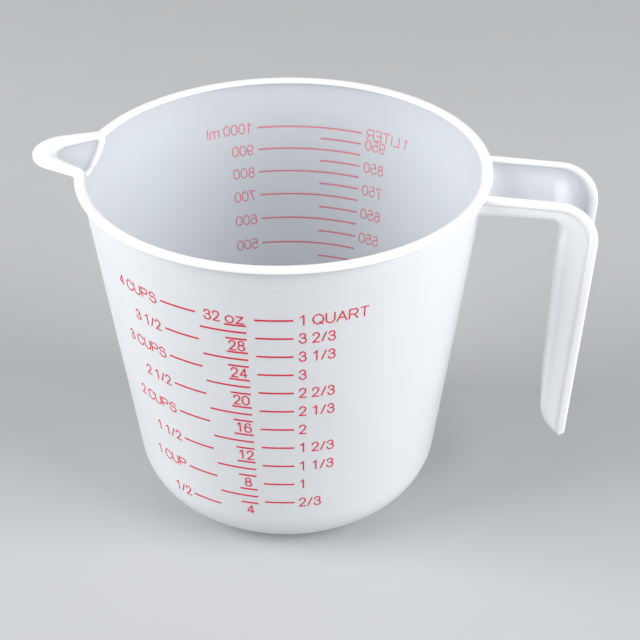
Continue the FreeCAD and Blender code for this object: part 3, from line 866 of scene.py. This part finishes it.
@dataclass(frozen=True)
class Moulding:
    """The jug's one shot of plastic: vessel, rim, spout and handle.

    An edge is crisp where its faces turn by more than so many degrees. The families are the first words
    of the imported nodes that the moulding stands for.
    """

    vessel: Vessel
    handle: Handle
    crisp: float = 38.0
    families: tuple[str, ...] = ("base", "side", "rim", "spout", "handle")

    def build(self, finish: bpy.types.Material) -> bpy.types.Object:
        """Join the handle to the vessel as one closed skin.

        Args:
            finish: The plastic.

        Returns:
            The finished piece.
        """
        body = shown("moulded_jug", self.vessel.build())
        hook = shown("handle_blank", self.handle.build())
        joint = body.modifiers.new("join_handle", "BOOLEAN")
        joint.operation = "UNION"
        joint.solver = "EXACT"
        joint.object = hook
        evaluated = bpy.context.evaluated_depsgraph_get()
        joined = bpy.data.meshes.new_from_object(body.evaluated_get(evaluated))
        body.modifiers.remove(joint)
        self.carry_marks(joined, (body.data, hook.data))
        bpy.data.objects.remove(hook)
        body.data = joined
        self.smooth(joined)
        joined.materials.clear()
        joined.materials.append(finish)
        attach(body, "root")
        moulded = [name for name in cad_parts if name.split("_")[0] in self.families]
        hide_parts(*moulded)
        log.info("%s: %d faces, stands for %d nodes", body.name, len(joined.polygons), len(moulded))
        return body

    def carry_marks(self, mesh: bpy.types.Mesh, sources: tuple[bpy.types.Mesh, ...]) -> None:
        """Give each vertex of the joined skin the marks of the nearest vertex that it was made from.

        Args:
            mesh: The joined skin, which is changed.
            sources: The skins before they were joined.
        """
        places = [vertex.co for source in sources for vertex in source.vertices]
        nearest = KDTree(len(places))
        for index, place in enumerate(places):
            nearest.insert(place, index)
        nearest.balance()
        origins = [nearest.find(vertex.co)[1] for vertex in mesh.vertices]
        for name in (MILK_AND_HIGHLIGHT, GLOSS_AND_INNER_SHADE):
            marks = [item.value for source in sources for item in source.attributes[name].data]
            if name in mesh.attributes:
                mesh.attributes.remove(mesh.attributes[name])
            carried = mesh.attributes.new(name, "FLOAT", "POINT")
            carried.data.foreach_set("value", [marks[origin] for origin in origins])

    def smooth(self, mesh: bpy.types.Mesh) -> None:
        """Shade a mesh smooth, except across its crisp edges.

        Args:
            mesh: The mesh, which is changed.
        """
        skin = bmesh.new()
        skin.from_mesh(mesh)
        for face in skin.faces:
            face.smooth = True
        for edge in skin.edges:
            edge.smooth = len(edge.link_faces) != 2 or edge.calc_face_angle(0) < radians(self.crisp)
        skin.to_mesh(mesh)
        skin.free()


@dataclass(frozen=True)
class PrintedScales:
    """The red cup, ounce, quart and millilitre scales."""

    columns: tuple[str, ...] = ("cup", "ounce", "third", "metric")

    def dress(self, finish: bpy.types.Material) -> None:
        """Give every printed node the ink.

        Args:
            finish: The ink.
        """
        for name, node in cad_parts.items():
            if name.split("_")[0] in self.columns:
                node.data.materials.clear()
                node.data.materials.append(finish)
                log.info("%s: printed", name)


@dataclass(frozen=True)
class Lamp:
    """One soft box, aimed at the jug. Its power is in watts."""

    name: str
    place: tuple[float, float, float]
    size: float
    power: float

    def hang(self, target: Vector) -> None:
        """Make the lamp and aim it.

        Args:
            target: The point that it faces.
        """
        light = bpy.data.lights.new(self.name, "AREA")
        light.shape = "SQUARE"
        light.size = self.size
        light.energy = self.power
        lamp = bpy.data.objects.new(self.name, light)
        lamp.location = self.place
        lamp.rotation_euler = (target - lamp.location).to_track_quat("-Z", "Y").to_euler()
        bpy.context.scene.collection.objects.link(lamp)


@dataclass(frozen=True)
class Studio:
    """Pale floor, soft boxes and the camera, whose roll is in degrees and lens in millimetres."""

    floor_half: float = 4.0
    floor_tone: tuple[float, float, float, float] = (0.50, 0.51, 0.52, 1.0)
    floor_satin: tuple[float, float] = (0.6, 0.7)
    sky_tone: tuple[float, float, float, float] = (0.80, 0.82, 0.84, 1.0)
    sky_strength: float = 0.36
    camera_place: tuple[float, float, float] = (0.0797, -0.4683, 0.3669)
    camera_target: tuple[float, float, float] = (0.0, 0.0, 0.062)
    camera_roll: float = -1.016
    lens: float = 91.6
    shift: tuple[float, float] = (0.053, 0.005)
    lamps: tuple[Lamp, ...] = (
        Lamp("left_box", (-1.45, -0.60, 0.90), 1.2, 35.0),
        Lamp("right_box", (1.55, -0.45, 0.85), 1.2, 35.0),
    )

    def lay_floor(self) -> None:
        """Make the pale floor that the jug stands on."""
        sheet = bmesh.new()
        bmesh.ops.create_grid(sheet, x_segments=4, y_segments=4, size=self.floor_half)
        floor = shown("floor", sheet)
        tone = bpy.data.materials.new("pale_floor")
        tone.use_nodes = True
        nodes = NodeTree(tone.node_tree)
        shader = tone.node_tree.nodes["Principled BSDF"]
        place = nodes.add("ShaderNodeTexCoord").outputs["Object"]
        mottle = nodes.add("ShaderNodeTexNoise", {}, Vector=place, Scale=30.0)
        roughness = nodes.ranged(mottle.outputs["Fac"], 0.3, 0.7, *self.floor_satin)
        tone.node_tree.links.new(roughness, shader.inputs["Roughness"])
        shader.inputs["Base Color"].default_value = self.floor_tone
        floor.data.materials.append(tone)

    def light(self) -> None:
        """Hang the soft boxes and set the plain surroundings."""
        for lamp in self.lamps:
            lamp.hang(Vector(self.camera_target))
        world = bpy.data.worlds.new("studio")
        world.use_nodes = True
        background = world.node_tree.nodes["Background"]
        background.inputs["Color"].default_value = self.sky_tone
        background.inputs["Strength"].default_value = self.sky_strength
        bpy.context.scene.world = world
        bpy.context.scene.view_settings.view_transform = "Standard"

    def aim_camera(self) -> None:
        """Place the camera and make it the scene's."""
        eye = bpy.data.cameras.new("camera")
        eye.lens = self.lens
        eye.shift_x, eye.shift_y = self.shift
        camera = bpy.data.objects.new("camera", eye)
        look = Vector(self.camera_target) - Vector(self.camera_place)
        turn = look.to_track_quat("-Z", "Y").to_matrix().to_4x4()
        roll = Matrix.Rotation(radians(self.camera_roll), 4, "Z")
        camera.matrix_world = Matrix.Translation(self.camera_place) @ turn @ roll
        bpy.context.scene.collection.objects.link(camera)
        bpy.context.scene.camera = camera

    def build(self) -> None:
        """Set up the whole studio."""
        self.lay_floor()
        self.light()
        self.aim_camera()


def main() -> None:
    """Build the studio, the moulding and its prints."""
    logging.basicConfig(level=logging.INFO, format="%(name)s %(message)s")
    Studio().build()
    detail = surface_group()
    vessel = Vessel()
    Moulding(vessel, Handle(vessel)).build(NaturalPolypropylene(detail).material())
    PrintedScales().dress(ScreenPrintInk(detail).material())


if __name__ == "__main__":
    main()
